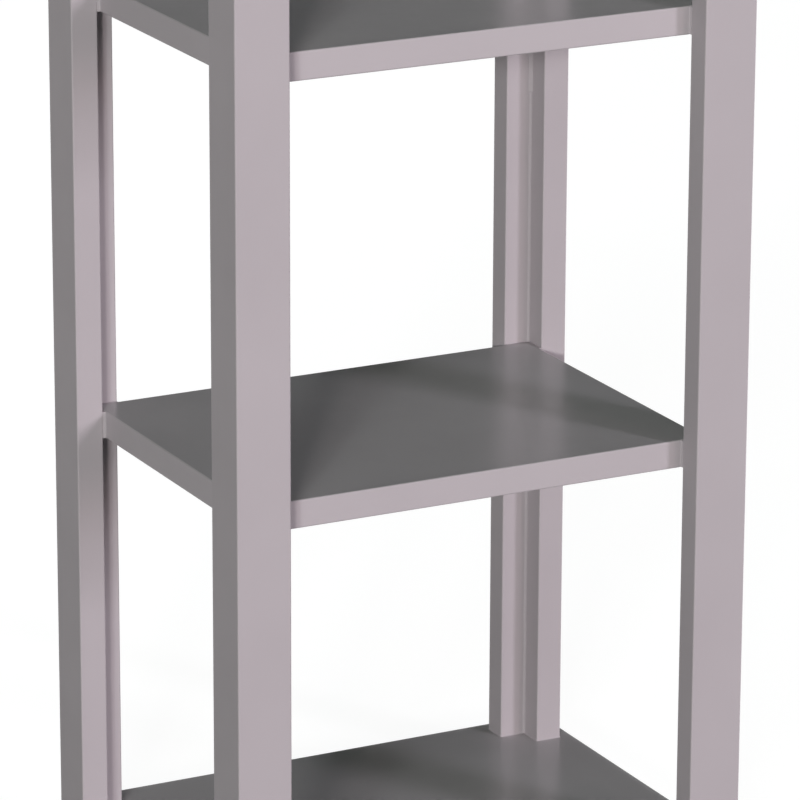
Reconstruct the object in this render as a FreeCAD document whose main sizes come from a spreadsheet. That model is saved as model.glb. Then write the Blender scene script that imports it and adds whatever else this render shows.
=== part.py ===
import FreeCAD, Part
import os
import Sketcher

# Driving sizes in millimetres. The unit stands on z = 0, its front looks toward -Y.
SIZES = {
    "post_span_x": 491.0,
    "post_span_y": 377.0,
    "leg_width": 50.0,
    "lath_thickness": 25.0,
    "bay_pitch": 386.5,
    "shelf_thickness": 25.0,
    "shelf_gap": 2.5,
    "base_thickness": 25.0,
    "top_thickness": 25.0,
    "overhang": 12.5,
    "arris_radius": 1.5,
    "bead_leg": 2.4,
    "dowel_diameter": 8.0,
    "dowel_clearance": 0.1,
    "dowel_end_gap": 1.0,
    "dowel_in_board": 15.0,
    "dowel_in_post": 25.0,
    "shelf_dowel_in_post": 15.0,
    "shelf_dowel_in_shelf": 25.0,
    "screw_diameter": 6.0,
    "screw_head_width": 11.0,
    "screw_length": 60.0,
    "screw_clearance": 0.1,
    "screw_end_gap": 2.0,
    "socket_radius": 2.3,
    "socket_depth": 2.0,
    "glide_diameter": 22.0,
    "glide_height": 6.0,
    "glide_round": 1.5,
    "glide_screw_diameter": 3.5,
    "glide_screw_head_width": 7.0,
    "glide_screw_length": 18.0,
    "glide_socket_radius": 1.4,
    "glide_screw_recess": 0.5,
}

# Shelves from the bottom up; the top board closes the bay above the last one.
SHELVES = ("lower_shelf", "middle_shelf", "upper_shelf")
BAYS = len(SHELVES) + 1

# Signs of X and Y at each corner of the unit.
CORNERS = {
    "front_left": (-1, -1),
    "front_right": (1, -1),
    "back_left": (-1, 1),
    "back_right": (1, 1),
}

# Derived lengths and heights, written as formulas of the sheet cells.
BASE_TOP = "(Dims.glide_height + Dims.base_thickness)"
POST_LENGTH = f"({BAYS} * Dims.bay_pitch - Dims.top_thickness)"
TOP_UNDERSIDE = f"({BASE_TOP} + {POST_LENGTH})"
RETURN_DEPTH = "(Dims.leg_width - Dims.lath_thickness)"
BOARD_LENGTH = "(Dims.post_span_x + 2 * Dims.overhang)"
BOARD_WIDTH = "(Dims.post_span_y + 2 * Dims.overhang)"
SHELF_LENGTH = "(Dims.post_span_x - 2 * Dims.lath_thickness - 2 * Dims.shelf_gap)"
SHELF_WIDTH = "(Dims.post_span_y - 2 * Dims.lath_thickness - 2 * Dims.shelf_gap)"

# Distances of lath and fixing centres from the two mid planes of the unit.
FACE_X = "(Dims.post_span_x / 2 - Dims.leg_width / 2)"
FACE_OUTER_X = "(Dims.post_span_x / 2 - Dims.lath_thickness / 2)"
FACE_INNER_X = "(Dims.post_span_x / 2 - Dims.leg_width + Dims.lath_thickness / 2)"
FACE_Y = "(Dims.post_span_y / 2 - Dims.lath_thickness / 2)"
RETURN_X = FACE_OUTER_X
RETURN_Y = f"(Dims.post_span_y / 2 - Dims.lath_thickness - {RETURN_DEPTH} / 2)"
GLIDE_X = "(Dims.post_span_x / 2 - Dims.leg_width / 2)"
GLIDE_Y = "(Dims.post_span_y / 2 - Dims.leg_width / 2)"

# Bores and depths that belong to the fasteners.
DOWEL_BORE = "(Dims.dowel_diameter + 2 * Dims.dowel_clearance)"
SCREW_BORE = "(Dims.screw_diameter + 2 * Dims.screw_clearance)"
SCREW_SEAT = "(Dims.screw_head_width + 2 * Dims.screw_clearance)"
GLIDE_SCREW_BORE = "(Dims.glide_screw_diameter + 2 * Dims.screw_clearance)"
GLIDE_SCREW_SEAT = "(Dims.glide_screw_head_width + 2 * Dims.screw_clearance + 2 * Dims.glide_screw_recess)"
BOARD_DOWEL_DEPTH = "(Dims.dowel_in_board + Dims.dowel_end_gap)"
POST_DOWEL_DEPTH = "(Dims.dowel_in_post + Dims.dowel_end_gap)"
POST_SCREW_DEPTH = "(Dims.screw_length - Dims.base_thickness + Dims.screw_end_gap)"
GLIDE_SCREW_IN_BASE = "(Dims.glide_screw_length + Dims.glide_screw_recess - Dims.glide_height)"
GLIDE_SCREW_DEPTH = f"({GLIDE_SCREW_IN_BASE} + Dims.dowel_end_gap)"

doc = FreeCAD.newDocument("ShelfCabinet")
sheet = doc.addObject("Spreadsheet::Sheet", "Dims")
for row, (alias, size) in enumerate(SIZES.items(), start=1):
    sheet.set(f"A{row}", alias)
    sheet.set(f"B{row}", str(size))
    sheet.setAlias(f"B{row}", alias)
doc.recompute()

# Each finished node with the number of separate solids it must hold.
nodes = {}

# Full angle of the screw heads and their seats, so a head is half as high as its rim stands out.
COUNTERSINK_ANGLE = 90.0

# Least volume in cubic millimetres that a cut must take away.
LEAST_CUT = 1.0


def value(formula):
    """Number that a formula of the sheet cells gives."""
    return float(sheet.evalExpression(formula))


def signed(sign, formula):
    """The formula on the side of a mid plane that the sign names."""
    return f"{sign} * {formula}"


def place(item, x, y, z):
    """Bind the position of an object to three formulas."""
    for axis, formula in zip("xyz", (x, y, z)):
        item.setExpression(f"Placement.Base.{axis}", formula)


def new_body(label, x="0", y="0", z="0"):
    """An empty body that becomes a node of the same name."""
    body = doc.addObject("PartDesign::Body", label)
    body.Label = label
    place(body, x, y, z)
    return body


def new_sketch(body, role, offset="0"):
    """A sketch on an origin plane of the body, moved along the normal of that plane."""
    sketch = body.newObject("Sketcher::SketchObject", "Plan")
    plane = next(item for item in body.Origin.OriginFeatures if item.Role == role)
    sketch.AttachmentSupport = [(plane, "")]
    sketch.MapMode = "FlatFace"
    sketch.setExpression("AttachmentOffset.Base.z", offset)
    return sketch


def bind_point(sketch, geometry, point, x, y):
    """Hold a sketch point at the coordinates that two formulas give."""
    for kind, formula in (("DistanceX", x), ("DistanceY", y)):
        rule = Sketcher.Constraint(kind, -1, 1, geometry, point, value(formula))
        index = sketch.addConstraint(rule)
        sketch.setExpression(f"Constraints[{index}]", formula)


def add_outline(sketch, points):
    """A closed polygon whose corners are pairs of formulas."""
    spots = [FreeCAD.Vector(value(x), value(y), 0) for x, y in points]
    count = len(points)
    for index in range(count):
        line = Part.LineSegment(spots[index], spots[(index + 1) % count])
        sketch.addGeometry(line, False)
    for index in range(count):
        rule = Sketcher.Constraint("Coincident", index, 2, (index + 1) % count, 1)
        sketch.addConstraint(rule)
    for index, (x, y) in enumerate(points):
        bind_point(sketch, index, 1, x, y)


def add_circles(sketch, centres, diameter):
    """One circle of the given diameter at each centre."""
    for x, y in centres:
        spot = FreeCAD.Vector(value(x), value(y), 0)
        circle = Part.Circle(spot, FreeCAD.Vector(0, 0, 1), value(diameter) / 2)
        geometry = sketch.addGeometry(circle, False)
        bind_point(sketch, geometry, 3, x, y)
        index = sketch.addConstraint(Sketcher.Constraint("Diameter", geometry, value(diameter)))
        sketch.setExpression(f"Constraints[{index}]", diameter)


def add_pad(body, sketch, length):
    """Raise a sketch into solid material."""
    pad = body.newObject("PartDesign::Pad", "Stock")
    pad.Profile = sketch
    pad.setExpression("Length", length)
    doc.recompute()
    return pad


def require_cut(body, before):
    """Stop if the last cut took no material away."""
    if before - body.Shape.Volume < LEAST_CUT:
        raise RuntimeError(f"{body.Label}: a cut removed nothing")


def drill(body, role, offset, centres, diameter, depth, along_normal):
    """Blind holes from a plane of the body, cut along the plane normal or against it."""
    before = body.Shape.Volume
    sketch = new_sketch(body, role, offset)
    add_circles(sketch, centres, diameter)
    pocket = body.newObject("PartDesign::Pocket", "Bores")
    pocket.Profile = sketch
    pocket.setExpression("Length", depth)
    pocket.Reversed = along_normal
    doc.recompute()
    require_cut(body, before)


def countersink(body, centres, bore, head_width):
    """Screw holes right through the body, with a seat for the head in its underside."""
    before = body.Shape.Volume
    sketch = new_sketch(body, "XY_Plane")
    add_circles(sketch, centres, bore)
    doc.recompute()
    hole = body.newObject("PartDesign::Hole", "ScrewHoles")
    hole.Profile = sketch
    doc.recompute()
    hole.ThreadType = "None"
    hole.DepthType = "ThroughAll"
    hole.HoleCutType = "Countersink"
    hole.HoleCutCustomValues = True
    hole.HoleCutCountersinkAngle = COUNTERSINK_ANGLE
    hole.Reversed = True
    hole.setExpression("Diameter", bore)
    hole.setExpression("HoleCutDiameter", head_width)
    doc.recompute()
    require_cut(body, before)


def round_edges(body, chosen, radius):
    """Round the edges of the body that the test picks by their middle point and direction."""
    tip = body.Tip
    names = []
    for index, edge in enumerate(tip.Shape.Edges, start=1):
        if chosen(edge):
            names.append(f"Edge{index}")
    fillet = body.newObject("PartDesign::Fillet", "Arris")
    fillet.Base = (tip, names)
    fillet.setExpression("Radius", radius)
    doc.recompute()


def is_upright(edge):
    """True for an edge that runs along Z."""
    box = edge.BoundBox
    return box.ZLength > box.XLength + box.YLength


def rectangle(length, width):
    """Corners of a rectangle about the sketch origin."""
    half = (f"{length} / 2", f"{width} / 2")
    signs = ((-1, -1), (1, -1), (1, 1), (-1, 1))
    return [(signed(a, half[0]), signed(b, half[1])) for a, b in signs]


def make_board(label, length, width, thickness, z):
    """A flat board centred over the origin with all its edges eased."""
    body = new_body(label, z=z)
    sketch = new_sketch(body, "XY_Plane")
    add_outline(sketch, rectangle(length, width))
    add_pad(body, sketch, thickness)
    round_edges(body, lambda edge: True, "Dims.arris_radius")
    nodes[label] = (body, 1)
    return body


def make_lath(label, length_x, length_y, x, y, rounded):
    """An upright lath on the base board; rounded holds the signs of its eased upright edges."""
    body = new_body(label, x, y, BASE_TOP)
    sketch = new_sketch(body, "XY_Plane")
    add_outline(sketch, rectangle(length_x, length_y))
    add_pad(body, sketch, POST_LENGTH)

    def chosen(edge):
        middle = edge.CenterOfMass
        signs = (1 if middle.x > 0 else -1, 1 if middle.y > 0 else -1)
        return is_upright(edge) and signs in rounded

    round_edges(body, chosen, "Dims.arris_radius")
    nodes[label] = (body, 1)
    return body


def make_face_lath(corner, sx, sy):
    """The wide lath that shows toward the front or the back."""
    rounded = {(sx, sy), (-sx, sy), (-sx, -sy)}
    body = make_lath(f"{corner}_face_lath", "Dims.leg_width", "Dims.lath_thickness",
                     signed(sx, FACE_X), signed(sy, FACE_Y), rounded)
    outer = (signed(sx, f"({FACE_OUTER_X} - {FACE_X})"), "0")
    inner = (signed(sx, f"({FACE_INNER_X} - {FACE_X})"), "0")
    drill(body, "XY_Plane", "0", [outer], DOWEL_BORE, POST_DOWEL_DEPTH, True)
    drill(body, "XY_Plane", "0", [inner], SCREW_BORE, POST_SCREW_DEPTH, True)
    drill(body, "XY_Plane", POST_LENGTH, [outer, inner], DOWEL_BORE, POST_DOWEL_DEPTH, False)


def make_return_lath(corner, sx, sy):
    """The narrow lath behind the face lath, which carries the shelf dowels."""
    rounded = {(sx, -sy), (-sx, -sy)}
    body = make_lath(f"{corner}_return_lath", "Dims.lath_thickness", RETURN_DEPTH,
                     signed(sx, RETURN_X), signed(sy, RETURN_Y), rounded)
    drill(body, "XY_Plane", "0", [("0", "0")], SCREW_BORE, POST_SCREW_DEPTH, True)
    drill(body, "XY_Plane", POST_LENGTH, [("0", "0")], DOWEL_BORE, POST_DOWEL_DEPTH, False)
    heights = [("0", f"({level} * Dims.bay_pitch - Dims.shelf_thickness / 2)")
               for level in range(1, BAYS)]
    depth = "(Dims.shelf_dowel_in_post + Dims.dowel_end_gap)"
    inner_face = signed(-sx, "Dims.lath_thickness / 2")
    drill(body, "YZ_Plane", inner_face, heights, DOWEL_BORE, depth, sx > 0)


def make_bead(corner, sx, sy):
    """The thin three-sided bead of filler in the inner corner of a post."""
    x = signed(sx, "(Dims.post_span_x / 2 - Dims.lath_thickness)")
    y = signed(sy, "(Dims.post_span_y / 2 - Dims.lath_thickness)")
    body = new_body(f"{corner}_corner_bead", x, y, BASE_TOP)
    sketch = new_sketch(body, "XY_Plane")
    along_x = (signed(-sx, "Dims.bead_leg"), "0")
    along_y = ("0", signed(-sy, "Dims.bead_leg"))
    add_outline(sketch, [("0", "0"), along_x, along_y])
    add_pad(body, sketch, POST_LENGTH)
    nodes[body.Label] = (body, 1)


def make_glide(corner, sx, sy):
    """A round floor glide with a seat for its screw."""
    body = new_body(f"{corner}_glide", signed(sx, GLIDE_X), signed(sy, GLIDE_Y))
    sketch = new_sketch(body, "XY_Plane")
    add_circles(sketch, [("0", "0")], "Dims.glide_diameter")
    add_pad(body, sketch, "Dims.glide_height")
    middle = value("Dims.glide_height") / 2
    round_edges(body, lambda edge: edge.BoundBox.ZMax < middle, "Dims.glide_round")
    countersink(body, [("0", "0")], GLIDE_SCREW_BORE, GLIDE_SCREW_SEAT)
    nodes[body.Label] = (body, 1)


def make_shelf(label, level):
    """A shelf between the posts, with dowel holes in its two end edges."""
    z = f"({BASE_TOP} + {level} * Dims.bay_pitch - Dims.shelf_thickness)"
    body = make_board(label, SHELF_LENGTH, SHELF_WIDTH, "Dims.shelf_thickness", z)
    centres = [(signed(sy, RETURN_Y), "Dims.shelf_thickness / 2") for sy in (-1, 1)]
    depth = "(Dims.shelf_dowel_in_shelf + Dims.dowel_end_gap)"
    for sx in (-1, 1):
        end = signed(sx, f"{SHELF_LENGTH} / 2")
        drill(body, "YZ_Plane", end, centres, DOWEL_BORE, depth, sx < 0)


def make_shelf_dowels(label, level):
    """The four dowels that carry one shelf, two at each end."""
    z = f"({BASE_TOP} + {level} * Dims.bay_pitch - Dims.shelf_thickness / 2)"
    body = new_body(label, z=z)
    length = "(Dims.shelf_dowel_in_post + Dims.shelf_gap + Dims.shelf_dowel_in_shelf)"
    starts = {
        -1: f"(-{SHELF_LENGTH} / 2 - Dims.shelf_gap - Dims.shelf_dowel_in_post)",
        1: f"({SHELF_LENGTH} / 2 - Dims.shelf_dowel_in_shelf)",
    }
    for start in starts.values():
        sketch = new_sketch(body, "YZ_Plane", start)
        add_circles(sketch, [(signed(sy, RETURN_Y), "0") for sy in (-1, 1)], "Dims.dowel_diameter")
        add_pad(body, sketch, length)
    nodes[label] = (body, 4)


def make_upright_dowels(label, centres, z):
    """Dowels that stand in a board and reach into the end of a lath."""
    body = new_body(label, z=z)
    sketch = new_sketch(body, "XY_Plane")
    add_circles(sketch, centres, "Dims.dowel_diameter")
    add_pad(body, sketch, "(Dims.dowel_in_board + Dims.dowel_in_post)")
    nodes[label] = (body, len(centres))


def make_screw(x, y, z, diameter, head_width, length, socket):
    """One countersunk screw that points up, with a six-sided socket in its head."""
    head_height = f"({head_width} - {diameter}) / 2"
    head = doc.addObject("Part::Cone", "ScrewHead")
    head.setExpression("Radius1", f"{head_width} / 2")
    head.setExpression("Radius2", f"{diameter} / 2")
    head.setExpression("Height", head_height)
    shank = doc.addObject("Part::Cylinder", "ScrewShank")
    shank.setExpression("Radius", f"{diameter} / 2")
    shank.setExpression("Height", length)
    drive = doc.addObject("Part::Prism", "ScrewSocket")
    drive.Polygon = 6
    drive.setExpression("Circumradius", socket)
    drive.setExpression("Height", "Dims.socket_depth")
    for item in (head, shank, drive):
        place(item, x, y, z)
    blank = doc.addObject("Part::Fuse", "ScrewBlank")
    blank.Base = head
    blank.Tool = shank
    screw = doc.addObject("Part::Cut", "Screw")
    screw.Base = blank
    screw.Tool = drive
    return screw


def make_screws(label, centres, z, diameter, head_width, length, socket):
    """A group of equal screws in one node."""
    group = doc.addObject("Part::Compound", label)
    group.Label = label
    group.Links = [make_screw(x, y, z, diameter, head_width, length, socket) for x, y in centres]
    doc.recompute()
    nodes[label] = (group, len(centres))


def at_corners(x, y):
    """The same spot mirrored to all four corners of the unit."""
    return [(signed(sx, x), signed(sy, y)) for sx, sy in CORNERS.values()]


face_outer = at_corners(FACE_OUTER_X, FACE_Y)
face_inner = at_corners(FACE_INNER_X, FACE_Y)
return_middle = at_corners(RETURN_X, RETURN_Y)
glide_middle = at_corners(GLIDE_X, GLIDE_Y)

# Base board: dowel holes above, screw seats and glide screw holes below.
base = make_board("base_board", BOARD_LENGTH, BOARD_WIDTH, "Dims.base_thickness", "Dims.glide_height")
drill(base, "XY_Plane", "Dims.base_thickness", face_outer, DOWEL_BORE, BOARD_DOWEL_DEPTH, False)
countersink(base, face_inner + return_middle, SCREW_BORE, SCREW_SEAT)
drill(base, "XY_Plane", "0", glide_middle, GLIDE_SCREW_BORE, GLIDE_SCREW_DEPTH, True)

# Top board: dowel holes in its underside only.
top = make_board("top_board", BOARD_LENGTH, BOARD_WIDTH, "Dims.top_thickness", TOP_UNDERSIDE)
top_spots = face_outer + face_inner + return_middle
drill(top, "XY_Plane", "0", top_spots, DOWEL_BORE, BOARD_DOWEL_DEPTH, True)

# Corner posts, their filler beads and the glides under them.
for corner, (sx, sy) in CORNERS.items():
    make_face_lath(corner, sx, sy)
    make_return_lath(corner, sx, sy)
    make_bead(corner, sx, sy)
    make_glide(corner, sx, sy)

# Shelves with the dowels that carry them.
for level, label in enumerate(SHELVES, start=1):
    make_shelf(label, level)
    make_shelf_dowels(f"{label}_dowels", level)

# Fasteners between the boards and the posts, and those of the glides.
make_upright_dowels("base_dowels", face_outer, f"({BASE_TOP} - Dims.dowel_in_board)")
make_upright_dowels("top_dowels", top_spots, f"({TOP_UNDERSIDE} - Dims.dowel_in_post)")
make_screws("base_screws", face_inner + return_middle, "Dims.glide_height", "Dims.screw_diameter",
            "Dims.screw_head_width", "Dims.screw_length", "Dims.socket_radius")
make_screws("glide_screws", glide_middle, "Dims.glide_screw_recess", "Dims.glide_screw_diameter",
            "Dims.glide_screw_head_width", "Dims.glide_screw_length", "Dims.glide_socket_radius")

doc.recompute()
for item in doc.Objects:
    if "Invalid" in item.State or "Error" in item.State:
        raise RuntimeError(f"{item.Label}: {item.State}")

os.makedirs("parts", exist_ok=True)
for label, (item, solids) in nodes.items():
    shape = item.Shape
    if shape.isNull() or not shape.isValid():
        raise RuntimeError(f"{label}: no valid shape")
    if len(shape.Solids) != solids:
        raise RuntimeError(f"{label}: {len(shape.Solids)} solids instead of {solids}")
    shape.exportStep(f"parts/{label}.step")
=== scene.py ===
import bmesh
import bpy
import math
from mathutils import Matrix, Vector, noise


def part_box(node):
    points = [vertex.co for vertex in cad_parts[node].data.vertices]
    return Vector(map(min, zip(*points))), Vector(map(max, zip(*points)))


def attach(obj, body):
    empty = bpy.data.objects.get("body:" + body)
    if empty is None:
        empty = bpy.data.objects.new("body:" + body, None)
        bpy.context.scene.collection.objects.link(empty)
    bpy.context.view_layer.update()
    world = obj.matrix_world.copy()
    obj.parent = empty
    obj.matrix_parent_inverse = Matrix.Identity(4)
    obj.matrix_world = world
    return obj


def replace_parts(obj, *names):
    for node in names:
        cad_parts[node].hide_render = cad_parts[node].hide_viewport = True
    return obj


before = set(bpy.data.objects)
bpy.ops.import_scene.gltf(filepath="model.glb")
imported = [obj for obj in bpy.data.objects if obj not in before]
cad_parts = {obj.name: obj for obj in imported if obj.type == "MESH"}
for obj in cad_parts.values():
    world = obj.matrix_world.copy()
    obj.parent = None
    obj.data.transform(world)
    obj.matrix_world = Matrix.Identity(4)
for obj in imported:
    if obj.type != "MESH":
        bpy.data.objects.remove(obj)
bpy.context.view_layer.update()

# Camera read from the photo, in metres and degrees
CAMERA_PLACE = Vector((-2.05899, -4.00062, 1.83651))
CAMERA_YAW = 27.268
CAMERA_PITCH = 17.285
CAMERA_ROLL = 0.205
CAMERA_LENS = 241.52
CAMERA_SENSOR = 36.0
CAMERA_REACH = 300.0

# Studio: the floor, and a dark world with a pale band up to a height of the view direction
FLOOR_HALF = 60.0
FLOOR_DROP = 0.0004
FLOOR_GLOW = 0.89
FLOOR_ROUGH = 0.9
FLOOR_DARK = (0.19, 0.19, 0.19, 1.0)
FLOOR_LIGHT = (0.21, 0.21, 0.21, 1.0)
STUDIO_DARK = (0.006, 0.020, 0.013, 1.0)
STUDIO_PALE = (0.98, 0.98, 0.98, 1.0)
HORIZON_BAND = 0.075
HORIZON_FADE = 0.10

# Feathered lamps: distance, height that the bearing starts from, height of the beam's middle, beam width
SPOT_REACH = 40.0
SPOT_LEVEL = 0.45
SPOT_AIM = 1.6
SPOT_CONE = 10.5

# Distance at which the sun lamps stand
SUN_REACH = 5.0

# Tints of the lamps
WHITE = (1.0, 1.0, 1.0)
COOL_WHITE = (0.95, 1.0, 0.975)
WARM_WHITE = (1.0, 0.94, 0.92)
LILAC_WHITE = (0.96, 0.91, 1.0)
ROSE_WHITE = (1.0, 0.81, 0.83)
SKY_WHITE = (0.95, 1.0, 0.97)

# Lacquer colours, linear; the level faces of the boards get a painted light tint, a touch greener and more
# neutral than their edges, standing in for the greenish light that falls on the tops
LACQUER_DARK = (0.425, 0.390, 0.411, 1.0)
LACQUER_LIGHT = (0.446, 0.410, 0.432, 1.0)
PAINTED_LIGHT_TINT = (0.955, 1.0, 0.968, 1.0)

# Colours of the hidden materials, linear
BEECH_DARK = (0.52, 0.33, 0.18, 1.0)
BEECH_LIGHT = (0.66, 0.47, 0.29, 1.0)
ZINC_DARK = (0.50, 0.50, 0.49, 1.0)
ZINC_LIGHT = (0.68, 0.68, 0.66, 1.0)
NYLON_DARK = (0.035, 0.035, 0.036, 1.0)
NYLON_LIGHT = (0.060, 0.060, 0.062, 1.0)

# Gloss: the flat faces of the boards are satin, their edges and the laths are duller
BOARD_IOR = 1.42
LATH_IOR = 1.25
SATIN_ROUGH = (0.215, 0.262)
DULL_ROUGH = (0.56, 0.64)

# Stretch of the brush marks and the grain on each axis, and how level a face has to be to count as flat
BOARD_STREAK = (1.0, 0.08, 1.0)
LATH_STREAK = (1.0, 1.0, 0.05)
BEECH_STREAK = (1.0, 12.0, 12.0)
LEVEL_START = 0.6
LEVEL_FULL = 0.95

# The four posts, with the side and the depth that each stands on
POSTS = {
    "front_left": (-1, -1),
    "front_right": (1, -1),
    "back_left": (-1, 1),
    "back_right": (1, 1),
}
SHELVES = ("lower_shelf", "middle_shelf", "upper_shelf")

# Lines of a post's section, measured outward from the middle of the unit
FACE_LOW, FACE_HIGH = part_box("back_right_face_lath")
RETURN_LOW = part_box("back_right_return_lath")[0]
END_X, CORNER_Y, POST_FOOT = FACE_LOW
OUTER_X, OUTER_Y, POST_HEAD = FACE_HIGH
CORNER_X, END_Y = RETURN_LOW.x, RETURN_LOW.y
ARRIS = 0.0015

# Filler at the joints: lengths in metres, shares, counts of layers, and waves per metre
END_ROUND = 0.0015
EDGE_ROUND = 0.0011
FILLER_SINK = 0.0005
FILLER_BITE = 0.0007
FILLER_LAYERS = 7
FILLER_WAVE = 0.10
FILLER_PACE = 90.0
FILLER_TAPER = 0.45
BEAD_LEG = 0.0021
BEAD_HOLLOW = 0.75
BEAD_LAYERS = 120
BEAD_PACE = 45.0
PROUD_POST = "back_right"
PROUD_LEG = 0.0027
PROUD_HOLLOW = 0.0
PROUD_RUN = 0.1245
PROUD_LIP = 0.0008
FOOT_FILLET = 0.0010
UNEVEN_STEP = (3.1, 5.7)
ROUND_STEPS = 6
SHARP_ANGLE = math.radians(38.0)


class Nodes:
    """Small helper that adds and links shader nodes in one tree."""

    def __init__(self, tree):
        self.tree = tree
        tree.nodes.clear()

    def add(self, kind, **settings):
        node = self.tree.nodes.new(kind)
        for key, value in settings.items():
            setattr(node, key, value)
        return node

    def link(self, source, target):
        self.tree.links.new(source, target)

    def noise(self, vector, scale, detail=2.0, rough=0.5):
        node = self.add("ShaderNodeTexNoise")
        node.inputs["Scale"].default_value = scale
        node.inputs["Detail"].default_value = detail
        node.inputs["Roughness"].default_value = rough
        self.link(vector, node.inputs["Vector"])
        return node.outputs["Fac"]

    def stretched(self, vector, scale):
        node = self.add("ShaderNodeMapping")
        node.inputs["Scale"].default_value = scale
        self.link(vector, node.inputs["Vector"])
        return node.outputs["Vector"]

    def spread(self, value, low, high, start=0.3, stop=0.7):
        node = self.add("ShaderNodeMapRange")
        node.inputs["From Min"].default_value = start
        node.inputs["From Max"].default_value = stop
        node.inputs["To Min"].default_value = low
        node.inputs["To Max"].default_value = high
        self.link(value, node.inputs["Value"])
        return node.outputs["Result"]

    def blend(self, factor, first, second, mode="MIX"):
        node = self.add("ShaderNodeMix", data_type="RGBA", blend_type=mode)
        if isinstance(factor, float):
            node.inputs["Factor"].default_value = factor
        else:
            self.link(factor, node.inputs["Factor"])
        for socket, value in ((node.inputs[6], first), (node.inputs[7], second)):
            if isinstance(value, tuple):
                socket.default_value = value
            else:
                self.link(value, socket)
        return node.outputs[2]

    def mix(self, factor, first, second):
        node = self.add("ShaderNodeMix", data_type="FLOAT")
        self.link(factor, node.inputs[0])
        self.link(first, node.inputs[2])
        self.link(second, node.inputs[3])
        return node.outputs[0]

    def level_faces(self):
        """1 on the faces that lie level and 0 on upright ones."""
        parts = self.add("ShaderNodeSeparateXYZ")
        self.link(self.add("ShaderNodeTexCoord").outputs["Normal"], parts.inputs["Vector"])
        steep = self.add("ShaderNodeMath", operation="ABSOLUTE")
        self.link(parts.outputs["Z"], steep.inputs[0])
        return self.spread(steep.outputs[0], 0.0, 1.0, LEVEL_START, LEVEL_FULL)

    def shown_rays(self):
        """1 for what the camera sees, directly, in a reflection or through glass."""
        path = self.add("ShaderNodeLightPath")
        seen = self.add("ShaderNodeMath", operation="MAXIMUM")
        self.link(path.outputs["Is Camera Ray"], seen.inputs[0])
        self.link(path.outputs["Is Glossy Ray"], seen.inputs[1])
        shown = self.add("ShaderNodeMath", operation="MAXIMUM")
        self.link(seen.outputs[0], shown.inputs[0])
        self.link(path.outputs["Is Transmission Ray"], shown.inputs[1])
        return shown.outputs[0]

    def bump(self, height, strength, distance, normal=None):
        node = self.add("ShaderNodeBump")
        node.inputs["Strength"].default_value = strength
        node.inputs["Distance"].default_value = distance
        self.link(height, node.inputs["Height"])
        if normal is not None:
            self.link(normal, node.inputs["Normal"])
        return node.outputs["Normal"]


def new_material(name):
    material = bpy.data.materials.new(name)
    material.use_nodes = True
    nodes = Nodes(material.node_tree)
    shader = nodes.add("ShaderNodeBsdfPrincipled")
    output = nodes.add("ShaderNodeOutputMaterial")
    nodes.link(shader.outputs["BSDF"], output.inputs["Surface"])
    place = nodes.add("ShaderNodeTexCoord").outputs["Object"]
    return material, nodes, shader, place


def lacquer(name, streak, ior, satin_and_painted_light_faces):
    """Lacquer with soft tone changes, fine orange peel and a faint run of the brush along one axis."""
    material, nodes, shader, place = new_material(name)
    cloud = nodes.noise(place, scale=7.0, detail=3.0, rough=0.55)
    tone = nodes.blend(nodes.spread(cloud, low=0.0, high=1.0), LACQUER_DARK, LACQUER_LIGHT)
    lay = nodes.noise(nodes.stretched(place, streak), scale=60.0, detail=3.0, rough=0.6)
    tone = nodes.blend(nodes.spread(lay, low=0.0, high=0.12), tone, LACQUER_DARK)
    grain = nodes.noise(place, scale=260.0)
    tone = nodes.blend(nodes.spread(grain, low=0.0, high=0.15), tone, LACQUER_LIGHT)
    if satin_and_painted_light_faces:
        # Painted light: the level faces get a greener, more neutral tint that stands in for the greenish
        # light and reflection on the tops
        painted_light_tone = nodes.blend(1.0, tone, PAINTED_LIGHT_TINT, mode="MULTIPLY")
        tone = nodes.blend(nodes.level_faces(), tone, painted_light_tone)
    nodes.link(tone, shader.inputs["Base Color"])
    patches = nodes.noise(place, scale=38.0, detail=3.0, rough=0.6)
    rough = nodes.spread(patches, *DULL_ROUGH)
    if satin_and_painted_light_faces:
        rough = nodes.mix(nodes.level_faces(), rough, nodes.spread(patches, *SATIN_ROUGH))
    nodes.link(rough, shader.inputs["Roughness"])
    shader.inputs["IOR"].default_value = ior
    peel = nodes.bump(nodes.noise(place, scale=300.0, detail=1.0), strength=0.08, distance=0.0004)
    runs = nodes.bump(lay, strength=0.06, distance=0.0003, normal=peel)
    nodes.link(runs, shader.inputs["Normal"])
    return material


def filler_paint():
    """Filler under the same lacquer, less even."""
    material, nodes, shader, place = new_material("filler_paint")
    lumps = nodes.noise(place, scale=160.0, detail=3.0, rough=0.6)
    tone = nodes.blend(nodes.spread(lumps, low=0.0, high=1.0), LACQUER_DARK, LACQUER_LIGHT)
    nodes.link(tone, shader.inputs["Base Color"])
    nodes.link(nodes.spread(lumps, *DULL_ROUGH), shader.inputs["Roughness"])
    shader.inputs["IOR"].default_value = LATH_IOR
    nodes.link(nodes.bump(lumps, strength=0.15, distance=0.0005), shader.inputs["Normal"])
    return material


def beech_wood():
    """Turned beech with short flecks along the grain."""
    material, nodes, shader, place = new_material("beech_wood")
    grain = nodes.noise(nodes.stretched(place, BEECH_STREAK), scale=90.0, detail=4.0, rough=0.6)
    nodes.link(nodes.blend(grain, BEECH_DARK, BEECH_LIGHT), shader.inputs["Base Color"])
    nodes.link(nodes.spread(grain, low=0.55, high=0.68), shader.inputs["Roughness"])
    nodes.link(nodes.bump(grain, strength=0.2, distance=0.0004), shader.inputs["Normal"])
    return material


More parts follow.
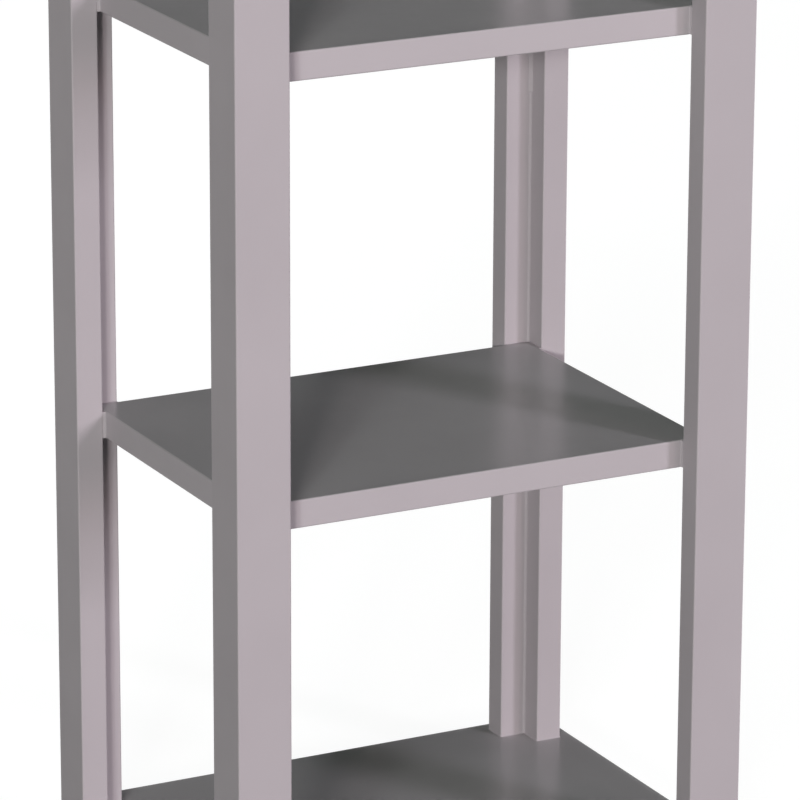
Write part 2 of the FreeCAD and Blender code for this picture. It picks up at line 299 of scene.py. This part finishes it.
def zinc_plate():
    """Zinc plated steel with a fine mottle."""
    material, nodes, shader, place = new_material("zinc_plate")
    mottle = nodes.noise(place, scale=700.0, detail=3.0, rough=0.6)
    nodes.link(nodes.blend(mottle, ZINC_DARK, ZINC_LIGHT), shader.inputs["Base Color"])
    shader.inputs["Metallic"].default_value = 1.0
    nodes.link(nodes.spread(mottle, low=0.26, high=0.40), shader.inputs["Roughness"])
    nodes.link(nodes.bump(mottle, strength=0.1, distance=0.0002), shader.inputs["Normal"])
    return material


def glide_nylon():
    """Dark moulded nylon with a fine sparked texture."""
    material, nodes, shader, place = new_material("glide_nylon")
    spark = nodes.noise(place, scale=1500.0, detail=2.0, rough=0.6)
    nodes.link(nodes.blend(spark, NYLON_DARK, NYLON_LIGHT), shader.inputs["Base Color"])
    nodes.link(nodes.spread(spark, low=0.42, high=0.55), shader.inputs["Roughness"])
    nodes.link(nodes.bump(spark, strength=0.2, distance=0.0002), shader.inputs["Normal"])
    return material


def paint_cad():
    """Gives each CAD node the material that its slot stands for."""
    board = lacquer("lacquer_board", BOARD_STREAK, BOARD_IOR, satin_and_painted_light_faces=True)
    lath = lacquer("lacquer_lath", LATH_STREAK, LATH_IOR, satin_and_painted_light_faces=False)
    finishes = {
        "lacquered_board": board,
        "lacquered_lath": lath,
        "filler": filler_paint(),
        "beech": beech_wood(),
        "zinc_steel": zinc_plate(),
        "glide_plastic": glide_nylon(),
    }
    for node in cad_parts.values():
        for place in node.material_slots:
            place.material = finishes[place.material.name.split(".")[0]]
    return finishes


class Piece:
    """Gathers closed lofts into one mesh object that belongs to the unit."""

    def __init__(self):
        self.points = []
        self.faces = []

    def loft(self, rows, ring=False):
        """Joins rows of points, each row a loop: end to end as a ring, or with a cap on both ends."""
        start = len(self.points)
        count = len(rows[0])
        for row in rows:
            self.points.extend(row)
        for i in range(len(rows) if ring else len(rows) - 1):
            here = start + i * count
            there = start + (i + 1) % len(rows) * count
            for j in range(count):
                k = (j + 1) % count
                self.faces.append((here + j, here + k, there + k, there + j))
        if not ring:
            last = start + (len(rows) - 1) * count
            self.faces.append(tuple(range(start, start + count)))
            self.faces.append(tuple(range(last, last + count)))

    def finish(self, name, material):
        mesh = bpy.data.meshes.new(name)
        mesh.from_pydata(self.points, [], self.faces)
        work = bmesh.new()
        work.from_mesh(mesh)
        bmesh.ops.recalc_face_normals(work, faces=work.faces)
        work.to_mesh(mesh)
        work.free()
        mesh.shade_smooth()
        mesh.set_sharp_from_angle(angle=SHARP_ANGLE)
        mesh.materials.append(material)
        piece = bpy.data.objects.new(name, mesh)
        bpy.context.scene.collection.objects.link(piece)
        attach(piece, "root")
        return piece


def arc(centre, radius, start, stop):
    """Points on a circle from one angle to another, in degrees."""
    points = []
    for i in range(ROUND_STEPS + 1):
        angle = math.radians(start + (stop - start) * i / ROUND_STEPS)
        points.append((centre[0] + radius * math.cos(angle), centre[1] + radius * math.sin(angle)))
    return points


def unevenness(signs, height, pace):
    """A small number between -1 and 1 that changes slowly along a joint and differs between the posts."""
    return noise.noise(Vector((signs[0] * UNEVEN_STEP[0], signs[1] * UNEVEN_STEP[1], height * pace)))


def placed(section, signs, height):
    """A section in the post's own corner of the unit, at one height."""
    return [(signs[0] * x, signs[1] * y, height) for x, y in section]


def shelf_filler_section(shelf_x, shelf_y, fullness):
    """Filler in the gap round a shelf's corner; it runs out in a hollow beside each lath's end."""
    bite = FILLER_BITE
    end, edge = END_ROUND * fullness, EDGE_ROUND * fullness
    section = [(shelf_x - bite, END_Y - end)]
    section += arc((shelf_x + end, END_Y - end), end, 180.0, 90.0)
    section += [
        (CORNER_X + bite, END_Y + bite),
        (CORNER_X + bite, CORNER_Y + bite),
        (END_X + bite, CORNER_Y + bite),
    ]
    section += arc((END_X - edge, shelf_y + edge), edge, 0.0, -90.0)
    section += [(END_X - edge, shelf_y - bite), (shelf_x - bite, shelf_y - bite)]
    return section


def make_shelf_filler(shelf, material):
    low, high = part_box(shelf)
    bottom, top = low.z + FILLER_SINK, high.z - FILLER_SINK
    piece = Piece()
    for signs in POSTS.values():
        rows = []
        for i in range(FILLER_LAYERS):
            height = bottom + (top - bottom) * i / (FILLER_LAYERS - 1)
            fullness = 1.0 + FILLER_WAVE * unevenness(signs, height, FILLER_PACE)
            if i in (0, FILLER_LAYERS - 1):
                fullness *= FILLER_TAPER
            rows.append(placed(shelf_filler_section(high.x, high.y, fullness), signs, height))
        piece.loft(rows)
    piece.finish(shelf + "_corner_filler", material)


def bead_section(leg, hollow):
    """Bead in a post's inner corner; hollow is 0 for a flat face and 1 for a quarter round hollow."""
    round_face = arc((CORNER_X - leg, CORNER_Y - leg), leg, 90.0, 0.0)
    section = []
    for i, (x, y) in enumerate(round_face):
        share = i / ROUND_STEPS
        flat_x, flat_y = CORNER_X - leg * (1.0 - share), CORNER_Y - leg * share
        section.append((flat_x + (x - flat_x) * hollow, flat_y + (y - flat_y) * hollow))
    bite = FILLER_BITE
    section += [
        (CORNER_X + bite, CORNER_Y - leg),
        (CORNER_X + bite, CORNER_Y + bite),
        (CORNER_X - leg, CORNER_Y + bite),
    ]
    return section


def make_corner_bead(post, material):
    """Hand-drawn bead; on one post a thicker run of it hangs below the middle shelf and ends in a lip."""
    signs = POSTS[post]
    shelf_low, shelf_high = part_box("middle_shelf")
    lip, run_top = shelf_low.z - PROUD_RUN, shelf_high.z
    heights = [POST_FOOT + (POST_HEAD - POST_FOOT) * i / BEAD_LAYERS for i in range(BEAD_LAYERS + 1)]
    if post == PROUD_POST:
        heights = sorted(heights + [lip - PROUD_LIP, lip, lip + PROUD_LIP])
    rows = []
    for height in heights:
        leg, hollow = BEAD_LEG, BEAD_HOLLOW
        if post == PROUD_POST and lip <= height <= run_top:
            leg, hollow = PROUD_LEG, PROUD_HOLLOW
        leg *= 1.0 + FILLER_WAVE * unevenness(signs, height, BEAD_PACE)
        rows.append(placed(bead_section(leg, hollow), signs, height))
    piece = Piece()
    piece.loft(rows)
    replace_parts(piece.finish(post + "_drawn_bead", material), post + "_corner_bead")


def post_outline(offset):
    """A post's outline with rounded arrises, moved outward by an offset."""
    corners = (
        (END_X, OUTER_Y), (END_X, CORNER_Y), (CORNER_X, CORNER_Y),
        (CORNER_X, END_Y), (OUTER_X, END_Y), (OUTER_X, OUTER_Y),
    )
    facings = (180.0, 270.0, 180.0, 270.0, 360.0, 450.0)
    outline = []
    for i, (x, y) in enumerate(corners):
        before, after = math.radians(facings[i - 1] % 360.0), math.radians(facings[i])
        out_x = math.cos(before) + math.cos(after)
        out_y = math.sin(before) + math.sin(after)
        if (x, y) == (CORNER_X, CORNER_Y):
            outline.append((x + offset * out_x, y + offset * out_y))
        else:
            centre = (x - ARRIS * out_x, y - ARRIS * out_y)
            outline += arc(centre, ARRIS + offset, facings[i] - 90.0, facings[i])
    return outline


def make_post_fillets(name, board, upward, material):
    """Thin hollow of paint and filler round each post where it meets a board."""
    profile = []
    for i in range(ROUND_STEPS + 1):
        turn = math.radians(90.0 * i / ROUND_STEPS)
        profile.append((FOOT_FILLET * (1.0 - math.sin(turn)), FOOT_FILLET * (1.0 - math.cos(turn))))
    profile += [(-FILLER_BITE, 0.0), (-FILLER_BITE, -FILLER_BITE), (FOOT_FILLET, -FILLER_BITE)]
    piece = Piece()
    for signs in POSTS.values():
        rows = [placed(post_outline(out), signs, board + upward * up) for out, up in profile]
        piece.loft(rows, ring=True)
    piece.finish(name, material)


def floor_material():
    """Pale floor: it takes the shadow, and shows white to the camera and in reflections."""
    material, nodes, shader, place = new_material("studio_floor")
    mottle = nodes.noise(place, scale=3.0)
    nodes.link(nodes.blend(mottle, FLOOR_DARK, FLOOR_LIGHT), shader.inputs["Base Color"])
    shader.inputs["Roughness"].default_value = FLOOR_ROUGH
    shader.inputs["Specular IOR Level"].default_value = 0.0
    glow = nodes.add("ShaderNodeMath", operation="MULTIPLY")
    nodes.link(nodes.shown_rays(), glow.inputs[0])
    glow.inputs[1].default_value = FLOOR_GLOW
    shader.inputs["Emission Color"].default_value = (*WHITE, 1.0)
    nodes.link(glow.outputs[0], shader.inputs["Emission Strength"])
    return material


def make_floor():
    mesh = bpy.data.meshes.new("studio_floor")
    sides = ((-1, -1), (1, -1), (1, 1), (-1, 1))
    corners = [(x * FLOOR_HALF, y * FLOOR_HALF, -FLOOR_DROP) for x, y in sides]
    mesh.from_pydata(corners, [], [(0, 1, 2, 3)])
    mesh.materials.append(floor_material())
    floor = bpy.data.objects.new("studio_floor", mesh)
    bpy.context.scene.collection.objects.link(floor)


def make_world():
    """Dark studio, with a pale band low on the horizon that the camera and reflections see."""
    world = bpy.data.worlds.new("studio")
    world.use_nodes = True
    nodes = Nodes(world.node_tree)
    direction = nodes.add("ShaderNodeTexCoord").outputs["Generated"]
    parts = nodes.add("ShaderNodeSeparateXYZ")
    nodes.link(direction, parts.inputs["Vector"])
    band = nodes.spread(parts.outputs["Z"], 1.0, 0.0, HORIZON_BAND, HORIZON_FADE)
    pale = nodes.add("ShaderNodeMath", operation="MULTIPLY")
    nodes.link(band, pale.inputs[0])
    nodes.link(nodes.shown_rays(), pale.inputs[1])
    sky = nodes.add("ShaderNodeBackground")
    nodes.link(nodes.blend(pale.outputs[0], STUDIO_DARK, STUDIO_PALE), sky.inputs["Color"])
    output = nodes.add("ShaderNodeOutputWorld")
    nodes.link(sky.outputs["Background"], output.inputs["Surface"])
    bpy.context.scene.world = world


def bearing(azimuth, elevation):
    """Direction from the object; azimuth counts from the front to the right, in degrees."""
    a, e = math.radians(azimuth), math.radians(elevation)
    return Vector((math.sin(a) * math.cos(e), -math.cos(a) * math.cos(e), math.sin(e)))


def add_lamp(name, kind, towards, place, strength, colour, shine=True):
    """A lamp without shine lights the surfaces but leaves no highlight on them."""
    lamp = bpy.data.lights.new(name, kind)
    lamp.energy = strength
    lamp.color = colour
    holder = bpy.data.objects.new(name, lamp)
    holder.rotation_mode = "QUATERNION"
    holder.rotation_quaternion = towards.to_track_quat("Z", "Y")
    holder.location = place
    holder.visible_camera = False
    holder.visible_glossy = shine
    bpy.context.scene.collection.objects.link(holder)
    return lamp


def add_sun(name, azimuth, elevation, strength, colour, angle, shine=True):
    towards = bearing(azimuth, elevation)
    lamp = add_lamp(name, "SUN", towards, towards * SUN_REACH, strength, colour, shine)
    lamp.angle = math.radians(angle)


def add_spot(name, azimuth, elevation, strength, colour, angle):
    """A far lamp as strong as a sun on the object, feathered so that it fades towards the floor."""
    towards = bearing(azimuth, elevation)
    place = towards * SPOT_REACH + Vector((0.0, 0.0, SPOT_LEVEL))
    aim = place - Vector((0.0, 0.0, SPOT_AIM))
    power = strength * 4.0 * math.pi * SPOT_REACH ** 2
    lamp = add_lamp(name, "SPOT", aim, place, power, colour)
    lamp.spot_size = math.radians(SPOT_CONE)
    lamp.spot_blend = 1.0
    lamp.shadow_soft_size = SPOT_REACH * math.tan(math.radians(angle / 2.0))


def make_lights():
    """Each lamp has a bearing, a strength, a tint and the angle that it fills."""
    add_spot("left_light", azimuth=-39.5, elevation=13.0, strength=1.18, colour=COOL_WHITE, angle=6.0)
    add_spot("left_fill", azimuth=-33.5, elevation=13.0, strength=1.22, colour=WARM_WHITE, angle=5.0)
    add_sun("left_high", azimuth=-38.0, elevation=45.0, strength=0.34, colour=COOL_WHITE, angle=20.0)
    add_sun("right_light_low", azimuth=26.0, elevation=14.0, strength=0.57, colour=LILAC_WHITE, angle=9.0)
    add_sun("right_light_high", azimuth=26.0, elevation=22.5, strength=0.55, colour=LILAC_WHITE, angle=9.0)
    add_sun("front_fill", azimuth=13.0, elevation=8.0, strength=0.48, colour=ROSE_WHITE, angle=10.0)
    add_sun("side_fill", azimuth=92.0, elevation=1.0, strength=2.0, colour=WHITE, angle=1.8, shine=False)
    add_sun("back_fill", azimuth=181.5, elevation=1.0, strength=2.0, colour=WHITE, angle=1.8, shine=False)
    add_sun("top_light", azimuth=0.0, elevation=90.0, strength=0.80, colour=SKY_WHITE, angle=0.6)


def make_camera():
    camera = bpy.data.cameras.new("photo_camera")
    camera.lens = CAMERA_LENS
    camera.sensor_width = CAMERA_SENSOR
    camera.sensor_fit = "HORIZONTAL"
    camera.clip_end = CAMERA_REACH
    holder = bpy.data.objects.new("photo_camera", camera)
    turn = Matrix.Rotation(math.radians(-CAMERA_YAW), 4, "Z")
    tilt = Matrix.Rotation(math.radians(90.0 - CAMERA_PITCH), 4, "X")
    roll = Matrix.Rotation(math.radians(CAMERA_ROLL), 4, "Z")
    holder.matrix_world = Matrix.Translation(CAMERA_PLACE) @ turn @ tilt @ roll
    bpy.context.scene.collection.objects.link(holder)
    bpy.context.scene.camera = holder


finishes = paint_cad()
for shelf in SHELVES:
    make_shelf_filler(shelf, finishes["filler"])
for post in POSTS:
    make_corner_bead(post, finishes["filler"])
make_post_fillets("post_foot_filler", POST_FOOT, 1.0, finishes["filler"])
make_post_fillets("post_head_filler", POST_HEAD, -1.0, finishes["filler"])
make_floor()
make_world()
make_lights()
make_camera()
bpy.context.scene.view_settings.view_transform = "Standard"
